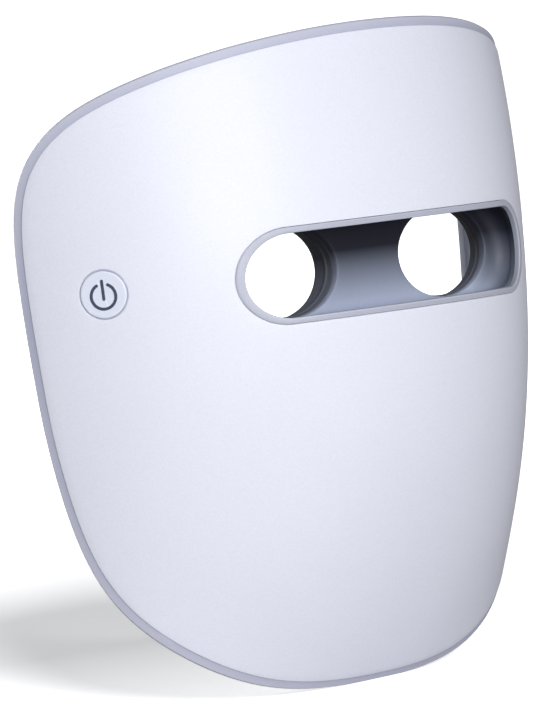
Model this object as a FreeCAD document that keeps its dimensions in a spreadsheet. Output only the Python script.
import FreeCAD, Part
import math
import os
import Sketcher
from FreeCAD import Base, Placement, Rotation, Vector

# LED face mask: a wrap-around shield with an eye slot, worn upright.
# Frame: +X to the wearer's left, -Y to the front, +Z up, millimetres.
# Everything is first described round the eye line (z = 0 at the slot centre,
# y = 0 in the widest plane); each piece's Placement then carries it to the
# assembly frame, whose origin is at the bottom centre of the box.
# A place on the shield is (angle, z): degrees from straight ahead, positive to
# the wearer's left, and height. Depth is measured inwards from the outer skin.

# ================================================================ dimensions

# Radius of the outer skin about the upright axis.
# Rows: angle (radians) to the power 0, 2, 4, 6, 8.
# Columns: height / 100 to the power 0, 1, 2, 3, 4.
RADIUS = [
    [76.6489, 3.1977, -16.8033, 5.6535, 0.0235],
    [13.1274, 1.1856, 5.7294, -2.1302, -4.0164],
    [-3.4957, 0.3788, 2.8016, -2.0802, -1.9096],
    [2.0452, -0.2320, -2.9877, 1.1545, 3.3354],
    [-0.3942, 0.0184, 0.5691, -0.1385, -0.7740],
]

# Edge of the shield on the wearer's left, chin to brow: angle, height
EDGE = [
    (0.000, -129.938), (22.669, -129.689), (39.438, -128.761), (51.262, -126.865),
    (59.683, -123.733), (66.141, -119.269), (71.598, -113.477), (76.539, -106.323),
    (80.925, -97.377), (84.327, -85.875), (86.326, -71.565), (87.216, -55.001),
    (87.490, -37.837), (87.342, -21.300), (87.238, -5.720), (87.094, 9.387),
    (86.557, 24.097), (84.703, 37.555), (80.542, 48.492), (74.251, 56.414),
    (66.707, 61.720), (59.030, 65.417), (51.625, 68.086), (44.571, 70.042),
    (37.845, 71.481), (31.395, 72.553), (25.150, 73.362), (19.015, 73.948),
    (12.897, 74.332), (6.681, 74.556), (0.000, 74.633),
]

# "front", "back" and "top" sizes are depths under the skin where a piece
# starts or ends, unless the comment says otherwise.
SIZES = dict(
    # height of the eye line above the flat chin, and its shift to the rear
    lift=129.10, setback=38.50, fit_gap=0.05,
    shell_thick=2.0, shell_bevel=0.25,
    # edge frame: band, wall, ledge under the shell, seat for the inner panel
    band_width=3.15, band_drop=0.35, rim_bevel=0.5, rim_bevel_drop=0.6,
    wall_depth=10.6, wall_thick=2.0, ledge_width=6.4, ledge_back=3.6,
    seat_width=4.6, seat_front=7.4, seat_back=8.95,
    # seal: height, and distances in from the edge
    seal_height=1.6, seal_outer=0.35, seal_crest=1.1, seal_inner=1.9, seal_gap=0.02,
    panel_front=9.0, panel_back=10.5, panel_inset=2.1, panel_slot_gap=0.6,
    # eye slot, its bezel and flange
    slot_half_len=61.70, slot_half_ht=14.56, bezel_width=1.87, bezel_end=2.60,
    bezel_proud=0.30, bezel_bevel_in=0.4, bezel_bevel_out=0.3,
    lip_back=3.0, slot_clear=0.12, flange_extra=5.0,
    # room behind the slot and the curved eye plate that closes it
    room_half_len=59.6, room_half_ht=16.0, room_wall=1.5,
    plate_depth=51.95, plate_half_width=260.0, plate_thick=2.0,
    eye_centre=32.90, eye_height=0.90, eye_half_wide=19.4, eye_half_tall=14.0,
    # eye cups: rear opening, depth behind the plate front, wall
    cup_centre=34.75, cup_height=1.20, cup_half_wide=18.85, cup_half_tall=14.3,
    cup_depth=8.40, cup_wall=1.5,
    # power button and the ring round it
    button_angle=-71.90, button_height=1.16, button_radius=7.15, button_gap=0.30,
    button_hole_clear=0.15, button_proud=0.35, button_skirt=2.60,
    button_flange_radius=8.30, button_flange_thick=0.70,
    button_post_radius=1.30, button_post_len=1.05, button_edge=0.45,
    ring_height=0.90, ring_front=0.55,
    # power mark: bar middle is measured from the ring centre
    mark_radius=3.80, mark_line=0.90, mark_thick=0.12, mark_gap=27.0,
    mark_bar_len=6.40, mark_bar_mid=1.90, mark_low=0.50,
    # switch and circuit board
    plunger_radius=1.60, plunger_len=1.55, plunger_top=4.40,
    switch_side=6.20, switch_top=5.00, switch_tall=2.60,
    switch_well=1.66, switch_well_deep=1.65,
    board_top=7.65, board_thick=1.00, board_wide=18.0, board_tall=32.0, board_hole=1.1,
    # LEDs, light boards, ribbons
    led_side=4.60, led_tall=1.50, led_gap=0.06, led_well_deep=0.35,
    flex_front=4.60, flex_back=5.40,
    ribbon_front=5.50, ribbon_back=5.75, ribbon_half=2.5,
    # battery and wires
    cell_angle=66.0, cell_height=-1.0, cell_wide=22.0, cell_tall=34.0, cell_thick=4.2,
    cell_top=3.70, cell_round=0.7,
    foam_wide=13.0, foam_tall=26.0, foam_thick=0.70, foam_gap=0.03,
    wire_radius=0.55, wire_depth=3.30,
    # charging port; port_centre is the depth of everything set in the edge
    port_long=8.94, port_short=3.26, port_deep=7.30, port_wall=0.32,
    port_angle_height=-34.0, port_centre=5.50, port_recess=0.9, port_clear=0.4,
    port_floor=0.8, tongue_trim=2.3, tongue_thick=0.7, tongue_base=0.4, tongue_short=2.2,
    port_board_wide=12.0, port_board_long=11.0, port_board_thick=0.80,
    port_board_middle=5.2, port_board_gap=0.03,
    # port flap and its hinge
    flap_long=13.0, flap_short=6.6, flap_thick=1.30, flap_gap=0.10,
    flap_plug_long=7.40, flap_plug_short=1.60, flap_plug_deep=0.80,
    hinge_offset=0.45, barrel_radius=0.62, barrel_len=9.0,
    barrel_bore=0.30, barrel_bore_len=20.0,
    pin_radius=0.26, pin_len=11.2, lug_radius=0.42, lug_wide=1.0, lug_tall=0.7, lug_start=5.65,
    # strap sockets
    socket_height=14.0, socket_bore=2.00, socket_deep=4.00, socket_outer=3.00, socket_len=6.40,
    # screws and their posts
    screw_radius=1.00, screw_head=2.10, screw_head_tall=0.90, screw_inset=15.0,
    screw_len=5.2, screw_clear=0.3, screw_head_gap=0.1, cross_long=2.4, cross_wide=0.5,
    post_outer=2.60, post_len=6.55, post_back=8.85, pilot_len=4.2,
    # soft pads
    pad_nose_wide=19.0, pad_nose_deep=8.6, pad_nose_tall=13.0, pad_nose_groove=8.5,
    pad_nose_groove_off=3.6, pad_nose_gap=0.45, pad_nose_low=-16.6,
    pad_brow_angle=25.0, pad_brow_low=33.0, pad_brow_high=54.5, pad_brow_thick=7.0,
)

doc = FreeCAD.newDocument("face_mask")
sheet = doc.addObject("Spreadsheet::Sheet", "Dims")


def radius_alias(i, j):
    return "rho_ang%d_ht%d" % (2 * i, j)


def fill_sheet():
    """One driving dimension a row: name in column A, plain number in column B."""
    rows = [(radius_alias(i, j), RADIUS[i][j]) for i in range(5) for j in range(5)]
    for i, (angle, z) in enumerate(EDGE):
        rows += [("edge_angle_no%02d" % i, angle), ("edge_height_no%02d" % i, z)]
    rows += list(SIZES.items())
    for row, (alias, value) in enumerate(rows, 1):
        sheet.set("A%d" % row, alias)
        sheet.set("B%d" % row, "%.5f" % value)
        sheet.setAlias("B%d" % row, alias)
    doc.recompute()


class SheetReader:
    """size.some_alias is the number the sheet holds under that alias."""

    def __getattr__(self, alias):
        return float(getattr(sheet, alias))


fill_sheet()
size = SheetReader()
radius_terms = [[getattr(size, radius_alias(i, j)) for j in range(5)] for i in range(5)]
left_edge = [(getattr(size, "edge_angle_no%02d" % i), getattr(size, "edge_height_no%02d" % i))
             for i in range(len(EDGE))]
outline = left_edge + [(-angle, z) for angle, z in left_edge[-2:0:-1]]

# ================================================================ outer skin


def skin(angle, z):
    """Point of the outer skin."""
    turn = math.radians(angle)
    square = turn * turn
    level = z / 100.0
    radius = 0.0
    power = 1.0
    for c0, c1, c2, c3, c4 in radius_terms:
        radius += power * (c0 + level * (c1 + level * (c2 + level * (c3 + level * c4))))
        power *= square
    return Vector(radius * math.sin(turn), -radius * math.cos(turn), z)


def frame(angle, z):
    """Point, unit tangents (along the angle, up) and outward normal of the skin."""
    along = skin(angle + 0.02, z) - skin(angle - 0.02, z)
    rise = skin(angle, z + 0.02) - skin(angle, z - 0.02)
    normal = along.cross(rise)
    normal.normalize()
    along.normalize()
    return skin(angle, z), along, normal.cross(along), normal


def inner(angle, z, depth):
    """Point at a depth under the skin."""
    point, _, _, normal = frame(angle, z)
    return point - normal * depth


# ================================================================ fitted surfaces


def basis_rows(params, knots, degree):
    """B-spline basis values: one row for each parameter."""
    count = len(params)
    rows = [[0.0] * count for _ in range(count)]
    for row, param in zip(rows, params):
        span = degree
        while span < count - 1 and param >= knots[span + 1]:
            span += 1
        basis = [1.0] + [0.0] * degree
        left = [0.0] * (degree + 1)
        right = [0.0] * (degree + 1)
        for j in range(1, degree + 1):
            left[j] = param - knots[span + 1 - j]
            right[j] = knots[span + j] - param
            saved = 0.0
            for k in range(j):
                term = basis[k] / (right[k + 1] + left[j - k])
                basis[k] = saved + right[k + 1] * term
                saved = left[j - k] * term
            basis[j] = saved
        row[span - degree:span + 1] = basis
    return rows


def invert(matrix):
    """Gauss-Jordan inverse."""
    count = len(matrix)
    work = [row + [1.0 if i == j else 0.0 for j in range(count)] for i, row in enumerate(matrix)]
    for col in range(count):
        pivot = max(range(col, count), key=lambda i: abs(work[i][col]))
        work[col], work[pivot] = work[pivot], work[col]
        lead = work[col][col]
        work[col] = [value / lead for value in work[col]]
        for i in range(count):
            factor = work[i][col]
            if i != col and factor:
                work[i] = [a - factor * b for a, b in zip(work[i], work[col])]
    return [row[count:] for row in work]


def pole_weights(params):
    """Weights that turn points at the parameters into cubic spline poles."""
    knots = [params[0]] * 4 + params[2:-2] + [params[-1]] * 4
    return invert(basis_rows(params, knots, 3))


def combine(weights, points):
    total = Vector()
    for weight, point in zip(weights, points):
        total = total + point * weight
    return total


def grid_surface(point_at, firsts, seconds):
    """Cubic surface through a grid of points, keeping (first, second) as parameters."""
    columns = [[point_at(first, second) for first in firsts] for second in seconds]
    second_weights = pole_weights(seconds)
    poles = []
    for weights in pole_weights(firsts):
        line = [combine(weights, column) for column in columns]
        poles.append([combine(row, line) for row in second_weights])
    surface = Part.BSplineSurface()
    surface.buildFromPolesMultsKnots(
        poles,
        [4] + [1] * (len(firsts) - 4) + [4],
        [4] + [1] * (len(seconds) - 4) + [4],
        [firsts[0]] + firsts[2:-2] + [firsts[-1]],
        [seconds[0]] + seconds[2:-2] + [seconds[-1]],
        False, False, 3, 3)
    return surface


SKIN_ANGLES = [-110.0 + 10 * i for i in range(23)]
SKIN_HEIGHTS = [-145.0 + 12.5 * i for i in range(19)]
PLATE_X = [-80.0 + 8 * i for i in range(21)]
PLATE_Z = [-40.0 + 10 * i for i in range(9)]
skins = {}
plates = {}


def skin_at(depth):
    """Surface at a depth under the outer skin, parameters (angle, z)."""
    key = round(depth, 4)
    if key not in skins:
        skins[key] = grid_surface(lambda angle, z: inner(angle, z, depth),
                                  SKIN_ANGLES, SKIN_HEIGHTS)
    return skins[key]


def plate_point(x, z, behind):
    """Point of the eye plate, a distance behind its front."""
    curve = math.sqrt(max(0.01, 1 - (x / size.plate_half_width) ** 2))
    return Vector(x, -(size.plate_depth - behind) * curve, z)


def plate_at(behind):
    """Eye plate surface, parameters (x, z)."""
    key = round(behind, 4)
    if key not in plates:
        plates[key] = grid_surface(lambda x, z: plate_point(x, z, behind), PLATE_X, PLATE_Z)
    return plates[key]


# ================================================================ closed curves


def loop_2d(points):
    curve = Part.Geom2d.BSplineCurve2d()
    curve.interpolate(Points=[Base.Vector2d(x, y) for x, y in points], PeriodicFlag=True)
    return curve


def on(surface, points):
    """Closed edge on a surface through its parameter points."""
    return loop_2d(points).toShape(surface)


def curve_steps(points, count):
    """Parameters that split each span of the closed curve, with the closing one."""
    knots = loop_2d(points).getKnots()
    params = []
    for start, end in zip(knots[:-1], knots[1:]):
        params += [start + (end - start) * j / count for j in range(count)]
    return params + [knots[-1]]


def densify(points, count):
    """The same closed curve with count points for each one given."""
    values = map(loop_2d(points).value, curve_steps(points, count)[:-1])
    return [(value.x, value.y) for value in values]


def space_loop(points, params):
    curve = Part.BSplineCurve()
    curve.interpolate(Points=points, PeriodicFlag=True, Parameters=params)
    return curve.toShape()


def solve_two(a11, a12, a21, a22, right1, right2):
    """Solve two linear equations in two unknowns."""
    det = a11 * a22 - a12 * a21
    return (right1 * a22 - right2 * a12) / det, (right2 * a11 - right1 * a21) / det


insets = {0.0: outline}


def inset(width):
    """Outline drawn in by a width along the skin, as (angle, z) points.

    Each new inset starts from the widest narrower one already drawn, so the
    order in which pieces are built has a slight effect on the points.
    """
    width = round(width, 4)
    if width in insets:
        return insets[width]
    base = max(known for known in insets if known < width)
    points = insets[base]
    count = max(1, int(math.ceil((width - base) / 1.5)))
    step = (width - base) / count
    for _ in range(count):
        moved = []
        places = [skin(angle, z) for angle, z in points]
        for i, (angle, z) in enumerate(points):
            inward = frame(angle, z)[3].cross(places[(i + 1) % len(points)] - places[i - 1])
            inward.normalize()
            by_angle = (skin(angle + 0.02, z) - skin(angle - 0.02, z)) * 25.0
            by_z = (skin(angle, z + 0.02) - skin(angle, z - 0.02)) * 25.0
            mixed = by_angle.dot(by_z)
            turn, rise = solve_two(by_angle.dot(by_angle), mixed, mixed, by_z.dot(by_z),
                                   by_angle.dot(inward) * step, by_z.dot(inward) * step)
            moved.append((angle + turn, z + rise))
        points = moved
    insets[width] = points
    return points


def pierce(points, depth, centre, axis1, axis2, start):
    """(angle, z) where flat points on two axes, carried straight on, meet the skin."""
    found = []
    angle, z = start
    for first, second in points:
        target = centre + axis1 * first + axis2 * second
        for _ in range(12):
            here = inner(angle, z, depth)
            by_angle = (inner(angle + 0.05, z, depth) - here) * 20.0
            by_z = (inner(angle, z + 0.05, depth) - here) * 20.0
            miss = target - here
            turn, rise = solve_two(by_angle.dot(axis1), by_z.dot(axis1),
                                   by_angle.dot(axis2), by_z.dot(axis2),
                                   miss.dot(axis1), miss.dot(axis2))
            turn = max(-8.0, min(8.0, turn))
            rise = max(-8.0, min(8.0, rise))
            angle += turn
            z += rise
            if abs(turn) < 1e-6 and abs(rise) < 1e-6:
                break
        found.append((angle, z))
    return found


def stadium(half_len, half_ht):
    """Pill outline in the x-z plane, started at the middle of the top."""
    run = half_len - half_ht
    splits = 6

    def end(centre, first_angle):
        turns = [math.radians(first_angle + 15 * i) for i in range(13)]
        return [(centre + half_ht * math.cos(a), half_ht * math.sin(a)) for a in turns]

    points = [(-run * i / splits, half_ht) for i in range(splits)]
    points += end(-run, 90)
    points += [(-run + 2 * run * i / (2 * splits), -half_ht) for i in range(1, 2 * splits)]
    points += end(run, -90)
    points += [(run - run * i / splits, half_ht) for i in range(1, splits)]
    return points


def oval(centre_x, centre_z, half_x, half_z, count=36):
    turns = [2 * math.pi * i / count for i in range(count)]
    return [(centre_x + half_x * math.cos(a), centre_z + half_z * math.sin(a)) for a in turns]


slots = {}


def slot_points(half_len, half_ht, depth):
    """Pill seen from the front, as (angle, z) points at a depth."""
    key = (round(half_len, 3), round(half_ht, 3), round(depth, 3))
    if key not in slots:
        slots[key] = pierce(stadium(half_len, half_ht), depth, Vector(0, 0, 0),
                            Vector(1, 0, 0), Vector(0, 0, 1), (0.0, half_ht))
    return slots[key]


def slot_loop(half_len, half_ht, depth):
    return on(skin_at(depth), slot_points(half_len, half_ht, depth))


def slot_ring(half_len, half_ht, depth):
    """The same pill as a free closed curve, for ruled walls."""
    dense = densify(slot_points(half_len, half_ht, depth), 2)
    return space_loop([inner(angle, z, depth) for angle, z in dense],
                      curve_steps(stadium(size.room_half_len, size.room_half_ht), 2))


def round_loop(radius, depth, angle, z, count=24):
    """Round hole about the skin normal at a place, at a depth."""
    point, along, up, _ = frame(angle, z)
    flat = oval(0, 0, radius, radius, count)
    return on(skin_at(depth), pierce(flat, depth, point, along, up, (angle, z)))


def rounded_patch(angle0, angle1, z0, z1, round_angle, round_z):
    """Rounded rectangle in (angle, z), its straight sides split about every 9 mm."""
    corners = []
    for centre_angle, centre_z, first in (
            (angle1 - round_angle, z1 - round_z, 0), (angle0 + round_angle, z1 - round_z, 90),
            (angle0 + round_angle, z0 + round_z, 180), (angle1 - round_angle, z0 + round_z, 270)):
        for k in range(5):
            turn = math.radians(first + 22.5 * k)
            corners.append((centre_angle + round_angle * math.cos(turn),
                            centre_z + round_z * math.sin(turn)))
    points = []
    for here, after in zip(corners, corners[1:] + corners[:1]):
        points.append(here)
        step_angle, step_z = after[0] - here[0], after[1] - here[1]
        # 1.4 mm of skin to the degree, about
        extra = int(math.hypot(step_angle * 1.4, step_z) // 9)
        for k in range(1, extra + 1):
            part = k / (extra + 1.0)
            points.append((here[0] + step_angle * part, here[1] + step_z * part))
    return points


# ================================================================ solids


def close_solid(faces):
    compound = Part.makeCompound(faces)
    compound.sewShape()
    solid = Part.Solid(compound.Shells[0])
    if solid.Volume < 0:
        solid.reverse()
    return solid


def lid(surface, outer, holes):
    face = Part.Face(surface, Part.Wire([outer]))
    for hole in holes:
        wire = Part.Wire([hole])
        wire.reverse()
        face.addWire(wire)
    return face


def walls(chain):
    """Ruled faces between each closed edge of a chain and the next."""
    faces = []
    for first, second in zip(chain[:-1], chain[1:]):
        faces += Part.makeRuledSurface(first, second).Faces
    return faces


def slab(front, back, outer_chain, hole_chains=()):
    """Solid between two depths; chains of closed edges run front to back."""
    faces = [lid(skin_at(front), outer_chain[0], [chain[0] for chain in hole_chains]),
             lid(skin_at(back), outer_chain[-1], [chain[-1] for chain in hole_chains])]
    for chain in [outer_chain] + list(hole_chains):
        faces += walls(chain)
    return close_solid(faces)


def sheet_slab(points, front, back):
    """Slab with the same (angle, z) outline at both depths."""
    return slab(front, back, [on(skin_at(depth), points) for depth in (front, back)])


def ring(chain):
    """Closed ring: the chain of closed edges goes once round its section."""
    return close_solid(walls(chain + chain[:1]))


def edge_ring(section):
    """Ring along the outline; section corners are (inset, depth)."""
    params = curve_steps(outline, 3)
    return ring([space_loop([inner(angle, z, depth) for angle, z in densify(inset(width), 3)],
                            params) for width, depth in section])


def wire_tube(path):
    """Round wire through (angle, z, depth) points."""
    points = [inner(angle, z, depth) for angle, z, depth in path]
    curve = Part.BSplineCurve()
    curve.interpolate(points)
    start = curve.tangent(curve.FirstParameter)[0]
    circle = Part.Wire([Part.Circle(points[0], start, size.wire_radius).toShape()])
    return Part.Wire([curve.toShape()]).makePipeShell([circle], True, True)


# ================================================================ placements


def axes_placement(x_axis, y_axis, z_axis, origin):
    columns = (x_axis, y_axis, z_axis, origin)
    return Placement(FreeCAD.Matrix(*[c.x for c in columns], *[c.y for c in columns],
                                    *[c.z for c in columns], 0, 0, 0, 1))


def local(angle, z, depth=0.0):
    """x along the angle, y up the skin, z outward, origin at a depth."""
    point, along, up, normal = frame(angle, z)
    return axes_placement(along, up, normal, point - normal * depth)


def edge_frame(height, side):
    """Point on the edge, outward normal and rearward direction in the skin."""
    k = [i for i in range(len(left_edge) - 1)
         if left_edge[i][1] <= height <= left_edge[i + 1][1]][0]
    (angle0, z0), (angle1, z1) = left_edge[k:k + 2]
    angle = angle0 + (angle1 - angle0) * (height - z0) / (z1 - z0)
    point, _, _, normal = frame(angle, height)
    tangent = skin(angle1, z1) - skin(angle0, z0)
    tangent = tangent - normal * tangent.dot(normal)
    tangent.normalize()
    back = tangent.cross(normal)
    if back.y < 0:
        back = back * -1.0
    back.normalize()
    if side < 0:
        return [Vector(-item.x, item.y, item.z) for item in (point, normal, back)]
    return point, normal, back


def edge_place(height, side, width, depth=None):
    """Placement at the edge, width in from it: z rearwards out of the edge,
    y inwards through the thickness, x along the edge."""
    point, normal, back = edge_frame(height, side)
    x_axis = (normal * -1.0).cross(back)
    x_axis.normalize()
    origin = point - back * width - normal * size.port_centre
    return axes_placement(x_axis, back.cross(x_axis), back, origin)


def at_port(width):
    return edge_place(size.port_angle_height, 1, width)


def on_button_axis(depth):
    return local(size.button_angle, size.button_height, depth)


HOME = Placement(Vector(0, size.setback, size.lift), Rotation())
parts = []


def keep(piece, name, placement=Placement()):
    """Label a finished piece and carry it to the assembly frame."""
    piece.Label = name
    piece.Placement = HOME.multiply(placement)
    parts.append(piece)


def feature(name, shape, placement=Placement()):
    piece = doc.addObject("Part::Feature", name)
    piece.Shape = shape
    keep(piece, name, placement)


# ================================================================ body tools


def new_body(name):
    return doc.addObject("PartDesign::Body", name + "_body")


def new_sketch(body, name, role="XY_Plane", offset=0.0):
    sketch = body.newObject("Sketcher::SketchObject", name)
    plane = [item for item in body.Origin.OriginFeatures if item.Role == role][0]
    sketch.AttachmentSupport = [(plane, "")]
    sketch.MapMode = "FlatFace"
    if offset:
        sketch.AttachmentOffset = Placement(Vector(0, 0, offset), Rotation())
    return sketch


def bind(sketch, constraint, name, expression):
    sketch.renameConstraint(sketch.addConstraint(constraint), name)
    sketch.setExpression("Constraints." + name, expression)


def add_circle(sketch, radius, x=0.0, y=0.0):
    """Circle whose radius is an expression."""
    i = sketch.addGeometry(Part.Circle(Vector(x, y, 0), Vector(0, 0, 1), 1.0), False)
    if x == 0.0 and y == 0.0:
        sketch.addConstraint(Sketcher.Constraint("Coincident", i, 3, -1, 1))
    bind(sketch, Sketcher.Constraint("Radius", i, 1.0), "radius%d" % i, radius)


def add_rect(sketch, wide, tall):
    """Centred rectangle whose sides are expressions; it is drawn 10 by 5 at first."""
    corners = [Vector(-5, -2.5, 0), Vector(5, -2.5, 0), Vector(5, 2.5, 0), Vector(-5, 2.5, 0)]
    sides = [sketch.addGeometry(Part.LineSegment(corners[i], corners[(i + 1) % 4]), False)
             for i in range(4)]
    for i in range(4):
        sketch.addConstraint(
            Sketcher.Constraint("Coincident", sides[i], 2, sides[(i + 1) % 4], 1))
    for kind, i in (("Horizontal", 0), ("Horizontal", 2), ("Vertical", 1), ("Vertical", 3)):
        sketch.addConstraint(Sketcher.Constraint(kind, sides[i]))
    sketch.addConstraint(Sketcher.Constraint("Symmetric", sides[0], 1, sides[1], 2, -1, 1))
    bind(sketch, Sketcher.Constraint("DistanceX", sides[0], 1, sides[0], 2, 10.0), "wide", wide)
    bind(sketch, Sketcher.Constraint("DistanceY", sides[1], 1, sides[1], 2, 5.0), "tall", tall)


def extrude(body, sketch, length=None, kind="PartDesign::Pad", **options):
    """Pad or pocket a sketch; the length is an expression."""
    doc.recompute()
    result = body.newObject(kind, sketch.Name + "_x")
    result.Profile = sketch
    if length:
        result.setExpression("Length", length)
    for option, value in options.items():
        setattr(result, option, value)
    sketch.Visibility = False
    doc.recompute()
    return result


def pocket(body, sketch, length=None):
    """Pocket of a given length, or through all."""
    doc.recompute()
    volume = body.Tip.Shape.Volume
    options = {} if length else {"Type": 1}
    cut = extrude(body, sketch, length, "PartDesign::Pocket", **options)
    # a pocket that points away from the material removes nothing: turn it round
    if abs(cut.Shape.Volume - volume) < 1e-6:
        cut.Reversed = True
        doc.recompute()


def pad_circle(body, name, radius, length, **options):
    sketch = new_sketch(body, name)
    add_circle(sketch, radius)
    return extrude(body, sketch, length, **options)


def pad_rect(body, name, wide, tall, length, offset=0.0, **options):
    sketch = new_sketch(body, name, offset=offset)
    add_rect(sketch, wide, tall)
    return extrude(body, sketch, length, **options)


# ================================================================ shield and edge


def build_outer_shell():
    """Shell that stops short of the edge band, with the eye slot and button hole."""
    edge = size.band_width + size.fit_gap
    bevel, thick = size.shell_bevel, size.shell_thick
    outer_chain = [on(skin_at(0.0), inset(edge + bevel)), on(skin_at(bevel), inset(edge)),
                   on(skin_at(thick), inset(edge))]
    half_len = size.slot_half_len + size.slot_clear
    half_ht = size.slot_half_ht + size.slot_clear
    slot_chain = [slot_loop(half_len, half_ht, depth) for depth in (0.0, thick)]
    radius = size.button_radius + size.button_gap + size.button_hole_clear
    hole_chain = [round_loop(radius, depth, size.button_angle, size.button_height)
                  for depth in (0.0, thick)]
    feature("outer_shell", slab(0.0, thick, outer_chain, [slot_chain, hole_chain]))


def build_rim_frame():
    """Band round the shell, wall to the rear, shell ledge and panel seat."""
    band, drop, bevel = size.band_width, size.band_drop, size.rim_bevel
    wall, depth = size.wall_thick, size.wall_depth
    ledge_front = size.shell_thick + size.fit_gap
    rim = edge_ring([
        (0.0, drop + size.rim_bevel_drop), (bevel, drop), (band, drop), (band, ledge_front),
        (size.ledge_width, ledge_front), (size.ledge_width, size.ledge_back),
        (wall, size.ledge_back), (wall, size.seat_front),
        (size.seat_width, size.seat_front), (size.seat_width, size.seat_back),
        (wall, size.seat_back), (wall, depth), (bevel, depth), (0.0, depth - bevel)])
    cutters = []
    length = size.socket_len
    for side in (1, -1):
        bore = Part.makeCylinder(size.socket_outer + size.fit_gap, length + 3.05,
                                 Vector(0, 0, -length - size.fit_gap), Vector(0, 0, 1))
        bore.Placement = edge_place(size.socket_height, side, 0.0)
        cutters.append(bore)
    port_long, port_short = size.port_long + size.port_clear, size.port_short + size.port_clear
    port = Part.makeBox(port_long, port_short, 8.0, Vector(-port_long / 2, -port_short / 2, -5.0))
    port.Placement = at_port(0.0)
    cutters.append(port)
    # flat under the chin
    cutters.append(Part.makeBox(120, 60, 20, Vector(-60, -70, -20 - size.lift)))
    rim = rim.cut(Part.makeCompound(cutters))
    # the cut may wrap its single solid in a compound
    feature("rim_frame", rim.Solids[0] if len(rim.Solids) == 1 else rim)


def build_edge_seal():
    """Soft seal on the rear of the edge frame."""
    front = size.wall_depth + size.seal_gap
    shoulder = front + 0.65 * size.seal_height
    feature("edge_seal", edge_ring([
        (size.seal_outer, front), (size.seal_inner, front), (size.seal_inner, shoulder),
        (size.seal_crest, front + size.seal_height), (size.seal_outer, shoulder)]))


# ================================================================ eye tray and cups


def eye_loop(behind, side, grow):
    points = oval(size.eye_centre, size.eye_height,
                  size.eye_half_wide + grow, size.eye_half_tall + grow)
    if side < 0:
        points = [(-x, z) for x, z in points][::-1]
    return on(plate_at(behind), points)


def build_visor_tray():
    """Bezel, flange under the shell, room and eye plate with its two eye holes."""
    slot_len, slot_ht = size.slot_half_len, size.slot_half_ht
    open_len, open_ht = slot_len - size.bezel_end, slot_ht - size.bezel_width
    room_len, room_ht = size.room_half_len, size.room_half_ht
    wall, flange, proud = size.room_wall, size.flange_extra, size.bezel_proud
    bevel_in, bevel_out = size.bezel_bevel_in, size.bezel_bevel_out
    flange_front, lip, thick = size.shell_thick + size.fit_gap, size.lip_back, size.plate_thick
    # both chains start from the same edge, the front of the bezel
    first = slot_ring(open_len + bevel_in, open_ht + bevel_in, -proud)
    outside = [first,
               slot_ring(slot_len - bevel_out, slot_ht - bevel_out, -proud),
               slot_ring(slot_len, slot_ht, -proud + bevel_out),
               slot_ring(slot_len, slot_ht, flange_front),
               slot_ring(slot_len + flange, slot_ht + flange, flange_front),
               slot_ring(slot_len + flange, slot_ht + flange, lip),
               slot_ring(room_len + wall, room_ht + wall, lip),
               on(plate_at(thick), stadium(room_len + wall, room_ht + wall))]
    inside = [first,
              slot_ring(open_len, open_ht, -proud + bevel_in),
              slot_ring(open_len, open_ht, lip),
              slot_ring(room_len, room_ht, lip),
              on(plate_at(0.0), stadium(room_len, room_ht))]
    # eye holes, flared at the front: distance behind the plate front, growth
    flare = ((0.0, 0.7), (0.7, 0.1), (thick, 0.0))
    eyes = [[eye_loop(behind, side, grow) for behind, grow in flare] for side in (1, -1)]
    faces = walls(outside) + walls(inside)
    faces.append(lid(plate_at(0.0), inside[-1], [eye[0] for eye in eyes]))
    faces.append(lid(plate_at(thick), outside[-1], [eye[-1] for eye in eyes]))
    for eye in eyes:
        faces += walls(eye)
    feature("visor_tray", close_solid(faces))


def cup_loop(behind, grow):
    """Oval that blends from the eye hole to the rear opening of the cup."""
    blend = (behind - size.plate_thick) / (size.cup_depth - size.plate_thick)
    blend = max(0.0, min(1.0, blend))

    def mix(start, end):
        return start + (end - start) * blend

    points = oval(mix(size.eye_centre, size.cup_centre), mix(size.eye_height, size.cup_height),
                  mix(size.eye_half_wide - 0.3, size.cup_half_wide) + grow,
                  mix(size.eye_half_tall - 0.2, size.cup_half_tall) + grow, 48)
    return space_loop([plate_point(x, z, behind) for x, z in points],
                      [float(i) for i in range(49)])


def build_eye_cups():
    """Soft flared collars behind the eye holes."""
    front, back, wall = size.plate_thick + size.fit_gap, size.cup_depth, size.cup_wall
    # distance behind the plate front, growth: inside to the rear, outside back to the front
    section = [(front, 0.0), (0.5 * (front + back), -0.15), (back - 0.5, 0.0), (back, 0.5),
               (back, wall + 0.2), (back - 0.6, wall + 0.7), (back - 1.4, wall),
               (front + 1.2, wall), (front + 1.2, wall + 1.7), (front, wall + 1.7)]
    cup = ring([cup_loop(behind, grow) for behind, grow in section])
    feature("eye_cup_left", cup)
    feature("eye_cup_right", cup.mirror(Vector(0, 0, 0), Vector(1, 0, 0)))


# ================================================================ power button


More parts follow.
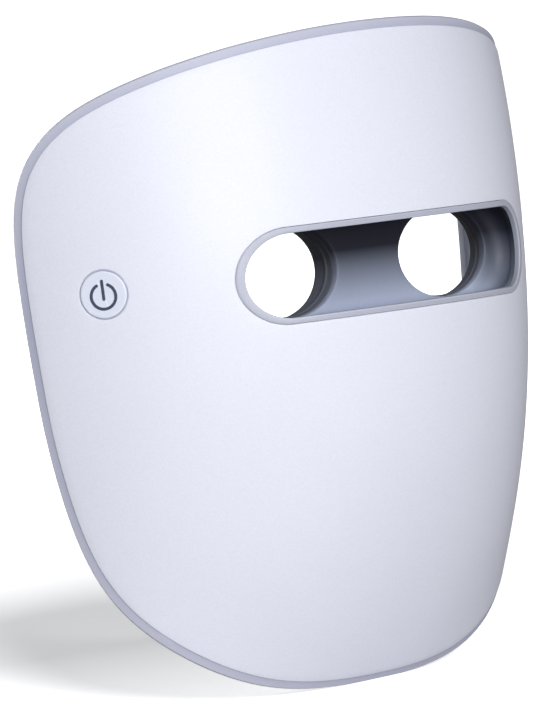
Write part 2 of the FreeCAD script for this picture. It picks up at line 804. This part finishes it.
def build_button_cap():
    base_depth = size.button_skirt + size.button_flange_thick
    body = new_body("button_cap")
    pad_circle(body, "cap_flange", "Dims.button_flange_radius", "Dims.button_flange_thick")
    pad_circle(body, "cap_face", "Dims.button_radius",
               "Dims.button_skirt + Dims.button_flange_thick + Dims.button_proud")
    post = pad_circle(body, "cap_post", "Dims.button_post_radius", "Dims.button_post_len",
                      Reversed=True)
    # the flat edge round the face
    level = base_depth + size.button_proud - 1e-4
    top = [i for i, edge in enumerate(post.Shape.Edges, 1)
           if abs(edge.BoundBox.ZMin - edge.BoundBox.ZMax) < 1e-6 and edge.BoundBox.ZMax > level]
    fillet = body.newObject("PartDesign::Fillet", "cap_edge")
    fillet.Base = (post, ["Edge%d" % top[0]])
    fillet.setExpression("Radius", "Dims.button_edge")
    body.Tip = fillet
    doc.recompute()
    keep(body, "button_cap", on_button_axis(base_depth))


def arc(start, middle, end):
    return Part.Arc(start, middle, end).toShape()


def build_button_mark():
    """Printed power mark: open ring with an upright bar, both with round ends."""
    radius, half, gap = size.mark_radius, size.mark_line / 2, math.radians(size.mark_gap)
    low = -size.mark_low
    start, end = math.radians(90) + gap, math.radians(450) - gap
    middle = 0.5 * (start + end)

    def polar(distance, turn):
        return Vector(distance * math.cos(turn), low + distance * math.sin(turn), 0)

    def tip(turn, reach):
        return polar(radius, turn) + Vector(-math.sin(turn), math.cos(turn), 0) * reach

    big, small = radius + half, radius - half
    open_ring = [arc(polar(big, start), polar(big, middle), polar(big, end)),
                 arc(polar(big, end), tip(end, half), polar(small, end)),
                 arc(polar(small, end), polar(small, middle), polar(small, start)),
                 arc(polar(small, start), tip(start, -half), polar(big, start))]
    straight = size.mark_bar_len / 2 - half
    bottom = low + size.mark_bar_mid - straight
    top = low + size.mark_bar_mid + straight
    bar = [Part.LineSegment(Vector(half, bottom, 0), Vector(half, top, 0)).toShape(),
           arc(Vector(half, top, 0), Vector(0, top + half, 0), Vector(-half, top, 0)),
           Part.LineSegment(Vector(-half, top, 0), Vector(-half, bottom, 0)).toShape(),
           arc(Vector(-half, bottom, 0), Vector(0, bottom - half, 0), Vector(half, bottom, 0))]
    solids = [Part.Face(Part.Wire(edges)).extrude(Vector(0, 0, size.mark_thick))
              for edges in (open_ring, bar)]
    feature("button_mark", Part.makeCompound(solids), on_button_axis(-size.button_proud - 0.01))


def build_button_ring():
    """Thin soft ring in the gap round the button."""
    outer = doc.addObject("Part::Cylinder", "button_ring_outer")
    outer.setExpression("Radius", "Dims.button_radius + Dims.button_gap + 0.11")
    outer.setExpression("Height", "Dims.ring_height")
    bore = doc.addObject("Part::Cylinder", "button_ring_inner")
    bore.setExpression("Radius", "Dims.button_radius + 0.07")
    bore.setExpression("Height", "Dims.ring_height + 2")
    bore.Placement.Base = Vector(0, 0, -1)
    cut = doc.addObject("Part::Cut", "button_ring")
    cut.Base = outer
    cut.Tool = bore
    doc.recompute()
    keep(cut, "button_ring", on_button_axis(size.ring_front + size.ring_height))


def build_switch():
    """Tact switch and its plunger."""
    body = new_body("switch_body")
    pad_rect(body, "switch_block", "Dims.switch_side", "Dims.switch_side", "Dims.switch_tall")
    well = new_sketch(body, "switch_well", offset=size.switch_tall)
    add_circle(well, "Dims.switch_well")
    pocket(body, well, "Dims.switch_well_deep")
    keep(body, "switch_body", on_button_axis(size.switch_top + size.switch_tall))

    body = new_body("switch_plunger")
    pad_circle(body, "plunger_round", "Dims.plunger_radius", "Dims.plunger_len")
    keep(body, "switch_plunger", on_button_axis(size.plunger_top + size.plunger_len))


def build_main_board():
    body = new_body("main_board")
    pad_rect(body, "board_outline", "Dims.board_wide", "Dims.board_tall", "Dims.board_thick")
    holes = new_sketch(body, "board_holes")
    for x, y in ((-7.0, 13.8), (7.0, -13.8)):
        add_circle(holes, "Dims.board_hole", x, y)
    pocket(body, holes)
    keep(body, "main_board", on_button_axis(size.board_top + size.board_thick))


# Blocks on the board: x, y, wide, tall, thick
BLOCKS = [(0.5, 8.6, 5.0, 5.0, 0.9), (-5.0, -7.2, 4.0, 4.0, 1.8),
          (2.0, -9.4, 6.5, 3.2, 2.4), (5.6, 5.2, 2.9, 1.6, 1.1)]
# Small equal blocks: x, y
CHIPS = [(-4.6, 10.6), (-4.6, 8.4), (-4.6, 6.2), (5.4, 10.4), (5.4, 8.2),
         (5.6, -5.2), (-1.8, -5.2), (-6.2, 1.8), (6.2, 0.6)]


def build_board_components():
    blocks = BLOCKS + [(x, y, 1.6, 0.8, 0.7) for x, y in CHIPS]
    boxes = [Part.makeBox(wide, tall, thick, Vector(x - wide / 2.0, y - tall / 2.0, 0.02))
             for x, y, wide, tall, thick in blocks]
    feature("board_components", Part.makeCompound(boxes), on_button_axis(size.board_top))


# ================================================================ battery


def build_battery():
    """Rounded cell with a foam pad on its front."""
    box = doc.addObject("Part::Box", "cell_block")
    box.setExpression("Length", "Dims.cell_wide")
    box.setExpression("Width", "Dims.cell_tall")
    box.setExpression("Height", "Dims.cell_thick")
    doc.recompute()
    cell = doc.addObject("Part::Fillet", "battery_cell")
    cell.Base = box
    cell.Edges = [(i + 1, size.cell_round, size.cell_round) for i in range(12)]
    doc.recompute()
    corner = Placement(Vector(-size.cell_wide / 2, -size.cell_tall / 2, 0), Rotation())
    back = local(size.cell_angle, size.cell_height, size.cell_top + size.cell_thick)
    keep(cell, "battery_cell", back.multiply(corner))

    body = new_body("battery_foam")
    pad_rect(body, "foam_outline", "Dims.foam_wide", "Dims.foam_tall", "Dims.foam_thick")
    keep(body, "battery_foam",
         local(size.cell_angle, size.cell_height, size.cell_top - size.foam_gap))


def build_battery_lead():
    """Two wires over the eye slot, from the cell to the board."""
    run = size.wire_depth
    wires = []
    for shift in (0.0, 1.6):
        path = [(61.5 - shift, 17.2, 6.0), (60.5 - shift, 19.6, 4.8),
                (57.0 - shift, 22.4 + shift, run + 0.2)]
        path += [(angle, 22.7 + shift, run) for angle in (48, 36, 24, 12, 0, -12, -24, -36, -48)]
        path += [(-57.0 + shift, 22.4 + shift, run + 0.3),
                 (-62.0 + shift, 20.6 + shift, 5.0), (-65.0 + shift, 18.6, 6.4)]
        wires.append(wire_tube(path))
    feature("battery_lead", Part.makeCompound(wires))


# ================================================================ charging port


def build_charge_socket():
    body = new_body("charge_socket")
    pad_rect(body, "socket_shell", "Dims.port_long", "Dims.port_short", "Dims.port_deep")
    mouth = new_sketch(body, "socket_mouth", offset=size.port_deep)
    add_rect(mouth, "Dims.port_long - 2 * Dims.port_wall", "Dims.port_short - 2 * Dims.port_wall")
    pocket(body, mouth, "Dims.port_deep - Dims.port_floor")
    pad_rect(body, "socket_tongue", "Dims.port_long - Dims.tongue_trim", "Dims.tongue_thick",
             "Dims.port_deep - Dims.tongue_short", offset=size.tongue_base)
    keep(body, "charge_socket", at_port(size.port_recess + size.port_deep))


def build_charge_board():
    """Board flat under the socket: its thickness runs inwards."""
    body = new_body("charge_board")
    pad_rect(body, "charge_outline", "Dims.port_board_wide", "Dims.port_board_long",
             "Dims.port_board_thick")
    flat = Placement(Vector(0, size.port_short / 2 + size.port_board_gap, 0),
                     Rotation(Vector(1, 0, 0), -90))
    place = at_port(size.port_board_middle + size.port_board_long / 2)
    keep(body, "charge_board", place.multiply(flat))


def build_charge_lead():
    wires = [wire_tube([(78.7, -27.6 + shift, 5.3), (76.8, -25.0 + shift, 5.5),
                        (74.2, -21.5 + 0.5 * shift, 5.7), (71.6 - 1.2 * shift, -19.2, 5.8)])
             for shift in (0.0, 1.5)]
    feature("charge_lead", Part.makeCompound(wires))


def build_port_flap():
    """Rubber flap with a plug and a hinge barrel, and the hinge pin on two lugs."""
    hinge_y = size.flap_short / 2 + size.hinge_offset
    hinge_z = size.flap_thick / 2
    body = new_body("port_flap")
    pad_rect(body, "flap_lid", "Dims.flap_long", "Dims.flap_short", "Dims.flap_thick")
    pad_rect(body, "flap_plug", "Dims.flap_plug_long", "Dims.flap_plug_short",
             "Dims.flap_plug_deep", Reversed=True)
    barrel = new_sketch(body, "flap_barrel", role="YZ_Plane")
    add_circle(barrel, "Dims.barrel_radius", hinge_y, hinge_z)
    extrude(body, barrel, "Dims.barrel_len", Midplane=True)
    bore = new_sketch(body, "flap_bore", role="YZ_Plane")
    add_circle(bore, "Dims.barrel_bore", hinge_y, hinge_z)
    body.Tip = extrude(body, bore, "Dims.barrel_bore_len", "PartDesign::Pocket", Midplane=True)
    doc.recompute()
    keep(body, "port_flap", at_port(-size.flap_gap))

    pin = Part.makeCylinder(size.pin_radius, size.pin_len,
                            Vector(-size.pin_len / 2, hinge_y, hinge_z), Vector(1, 0, 0))
    wide, tall = size.lug_wide, size.lug_tall
    for x in (-size.lug_start, size.lug_start - wide):
        pin = pin.fuse(Part.makeCylinder(size.lug_radius, wide, Vector(x, hinge_y, hinge_z),
                                         Vector(1, 0, 0)))
        pin = pin.fuse(Part.makeBox(wide, tall, hinge_z + 0.05,
                                    Vector(x, hinge_y - tall / 2, -0.05)))
    feature("flap_hinge", pin, at_port(-size.flap_gap))


# ================================================================ inner panel


def screw_places():
    """Ten (angle, z) places on an inset of the outline, picked by point number."""
    points = inset(size.screw_inset)
    return [points[i] for i in (0, 5, 10, 19, 24, 30, -24, -19, -10, -5)]


def build_inner_panel():
    places = screw_places()
    depths = (size.panel_front, size.panel_back)
    outer_chain = [on(skin_at(depth), inset(size.panel_inset)) for depth in depths]
    extra = size.room_wall + size.panel_slot_gap
    holes = [[slot_loop(size.room_half_len + extra, size.room_half_ht + extra, depth)
              for depth in depths]]
    radius = size.screw_radius + size.screw_clear
    for angle, z in places:
        holes.append([round_loop(radius, depth, angle, z, 12) for depth in depths])
    feature("inner_panel", slab(size.panel_front, size.panel_back, outer_chain, holes))


def make_post():
    """Hollow post, open to the rear."""
    post = Part.makeCylinder(size.post_outer, size.post_len,
                             Vector(0, 0, -size.post_back), Vector(0, 0, 1))
    return post.cut(Part.makeCylinder(size.screw_radius + 0.05, size.pilot_len,
                                      Vector(0, 0, -size.post_back - 0.05), Vector(0, 0, 1)))


def make_screw():
    """Cross-slotted screw, its head behind the panel."""
    seat = -size.panel_back - size.screw_head_gap
    tall = size.screw_head_tall
    screw = Part.makeCylinder(size.screw_radius, size.screw_len,
                              Vector(0, 0, seat), Vector(0, 0, 1))
    screw = screw.fuse(Part.makeCylinder(size.screw_head, tall,
                                         Vector(0, 0, seat - tall), Vector(0, 0, 1)))
    long, wide = size.cross_long, size.cross_wide
    for turn in (0, 90):
        groove = Part.makeBox(long, wide, 0.6, Vector(-long / 2, -wide / 2, seat - tall - 0.1))
        groove.rotate(Vector(0, 0, 0), Vector(0, 0, 1), turn)
        screw = screw.cut(groove)
    return screw


def build_fixings():
    for name, make in (("screw_posts", make_post), ("panel_screws", make_screw)):
        shapes = []
        for angle, z in screw_places():
            shape = make()
            shape.Placement = local(angle, z)
            shapes.append(shape)
        feature(name, Part.makeCompound(shapes))


# ================================================================ light boards

CHEEK_ANGLES = (17, 27.5, 38, 49, 60)
CHEEK_HEIGHTS = (-33, -52, -71)
# Board: name, (angle from, angle to, z from, z to), LED angles, LED heights
ZONES = [
    ("brow", (-37.0, 37.0, 26.0, 54.0), range(-32, 33, 8), (32.5, 47.5)),
    ("left_cheek", (12.0, 65.0, -78.0, -26.0), CHEEK_ANGLES, CHEEK_HEIGHTS),
    ("right_cheek", (-65.0, -12.0, -78.0, -26.0), [-a for a in CHEEK_ANGLES], CHEEK_HEIGHTS),
    ("chin", (-31.0, 31.0, -111.0, -84.5), (-24, -12, 0, 12, 24), (-91, -104.5)),
]


def make_led(angle, z):
    """Square LED with a shallow conical well in its rear face."""
    side, tall = size.led_side, size.led_tall
    rear, deep = -tall - size.led_gap, size.led_well_deep
    led = Part.makeBox(side, side, tall, Vector(-side / 2, -side / 2, rear))
    led = led.cut(Part.makeCone(1.55, 1.95, deep, Vector(0, 0, rear + deep), Vector(0, 0, -1)))
    led.Placement = local(angle, z, size.flex_back)
    return led


def build_light_boards():
    for name, bounds, angles, heights in ZONES:
        points = rounded_patch(*bounds, round_angle=3.0, round_z=4.0)
        feature("led_board_" + name, sheet_slab(points, size.flex_front, size.flex_back))
        leds = [make_led(angle, z) for z in heights for angle in angles]
        feature("led_group_" + name, Part.makeCompound(leds))


# Centre lines of the ribbons: angle, z
RIBBONS = {
    "ribbon_brow": [(-75, 18.8), (-71, 24.5), (-64, 29.5), (-54, 31), (-44, 31), (-35.2, 31)],
    "ribbon_cheek": [(-74, -16.5), (-71, -20.5), (-66, -25), (-63, -28.4)],
    "ribbon_chin": [(-20, -75.5), (-20, -79), (-20, -83), (-20, -87)],
    "ribbon_far": [(20, -75.5), (20, -79), (20, -83), (20, -87)],
}
MM_PER_DEGREE = 1.45  # skin length to the degree, about, where the ribbons run
RIBBON_STEP = 1.2


def ribbon_outline(path):
    """Outline of a strip along a path, as close-set (angle, z) points."""
    line = [(angle * MM_PER_DEGREE, z) for angle, z in path]
    half = size.ribbon_half
    left, right = [], []
    for i, (x, z) in enumerate(line):
        before, after = line[max(0, i - 1)], line[min(len(line) - 1, i + 1)]
        run_x, run_z = after[0] - before[0], after[1] - before[1]
        length = math.hypot(run_x, run_z)
        side_x, side_z = -run_z / length * half, run_x / length * half
        left.append((x + side_x, z + side_z))
        right.append((x - side_x, z - side_z))
    loop = left + right[::-1]
    points = []
    for (x0, z0), (x1, z1) in zip(loop, loop[1:] + loop[:1]):
        count = max(2, int(math.hypot(x1 - x0, z1 - z0) / RIBBON_STEP))
        points += [((x0 + (x1 - x0) * j / count) / MM_PER_DEGREE, z0 + (z1 - z0) * j / count)
                   for j in range(count)]
    return points


def build_ribbons():
    for name, path in RIBBONS.items():
        feature(name, sheet_slab(ribbon_outline(path), size.ribbon_front, size.ribbon_back))


# ================================================================ soft pads


def build_nose_pad():
    """Block behind the eye plate with an upright round groove in its rear."""
    half_deep = size.pad_nose_deep / 2
    body = new_body("nose_pad")
    pad_rect(body, "nose_block", "Dims.pad_nose_wide", "Dims.pad_nose_deep", "Dims.pad_nose_tall")
    groove = new_sketch(body, "nose_groove")
    add_circle(groove, "Dims.pad_nose_groove", 0, half_deep + size.pad_nose_groove_off)
    pocket(body, groove)
    y = -size.plate_depth + size.plate_thick + size.pad_nose_gap + half_deep
    keep(body, "nose_pad", Placement(Vector(0, y, size.pad_nose_low), Rotation()))


def build_brow_pad():
    """Cushion behind the panel, rounded towards the forehead."""
    front = size.panel_back + size.fit_gap
    thick = size.pad_brow_thick
    chain = []
    # part of the thickness, shrink of the outline
    for part, shrink in ((0.0, 0.6), (0.3, 0.0), (0.75, 0.5), (1.0, 2.4)):
        half_angle = size.pad_brow_angle - shrink / 1.15
        points = rounded_patch(-half_angle, half_angle, size.pad_brow_low + shrink,
                               size.pad_brow_high - shrink, round_angle=5.0, round_z=6.5)
        chain.append(on(skin_at(front + part * thick), points))
    feature("brow_pad", slab(front, front + thick, chain))


def build_strap_sockets():
    """Round sockets in the edge, open to the rear."""
    for side, name in ((1, "strap_socket_left"), (-1, "strap_socket_right")):
        body = new_body(name)
        pad_circle(body, name + "_round", "Dims.socket_outer", "Dims.socket_len")
        bore = new_sketch(body, name + "_bore", offset=size.socket_len)
        add_circle(bore, "Dims.socket_bore")
        pocket(body, bore, "Dims.socket_deep")
        keep(body, name, edge_place(size.socket_height, side, size.fit_gap + size.socket_len))


# ================================================================ build and export

for build in (build_outer_shell, build_rim_frame, build_edge_seal, build_visor_tray,
              build_eye_cups, build_button_cap, build_button_mark, build_button_ring,
              build_switch, build_main_board, build_board_components, build_battery,
              build_battery_lead, build_charge_socket, build_charge_board, build_charge_lead,
              build_port_flap, build_inner_panel, build_fixings, build_light_boards,
              build_ribbons, build_nose_pad, build_brow_pad, build_strap_sockets):
    build()
doc.recompute()

os.makedirs("parts", exist_ok=True)
for item in doc.Objects:
    bad = [state for state in item.State if state in ("Invalid", "Error")]
    if bad:
        raise RuntimeError("%s: %s" % (item.Name, bad))
for piece in parts:
    shape = piece.Shape
    if shape.isNull() or not shape.isValid():
        raise RuntimeError("bad shape in " + piece.Label)
    if shape.Volume <= 0 or not shape.Solids:
        raise RuntimeError("no solid in " + piece.Label)
    shape.exportStep(os.path.join("parts", piece.Label + ".step"))
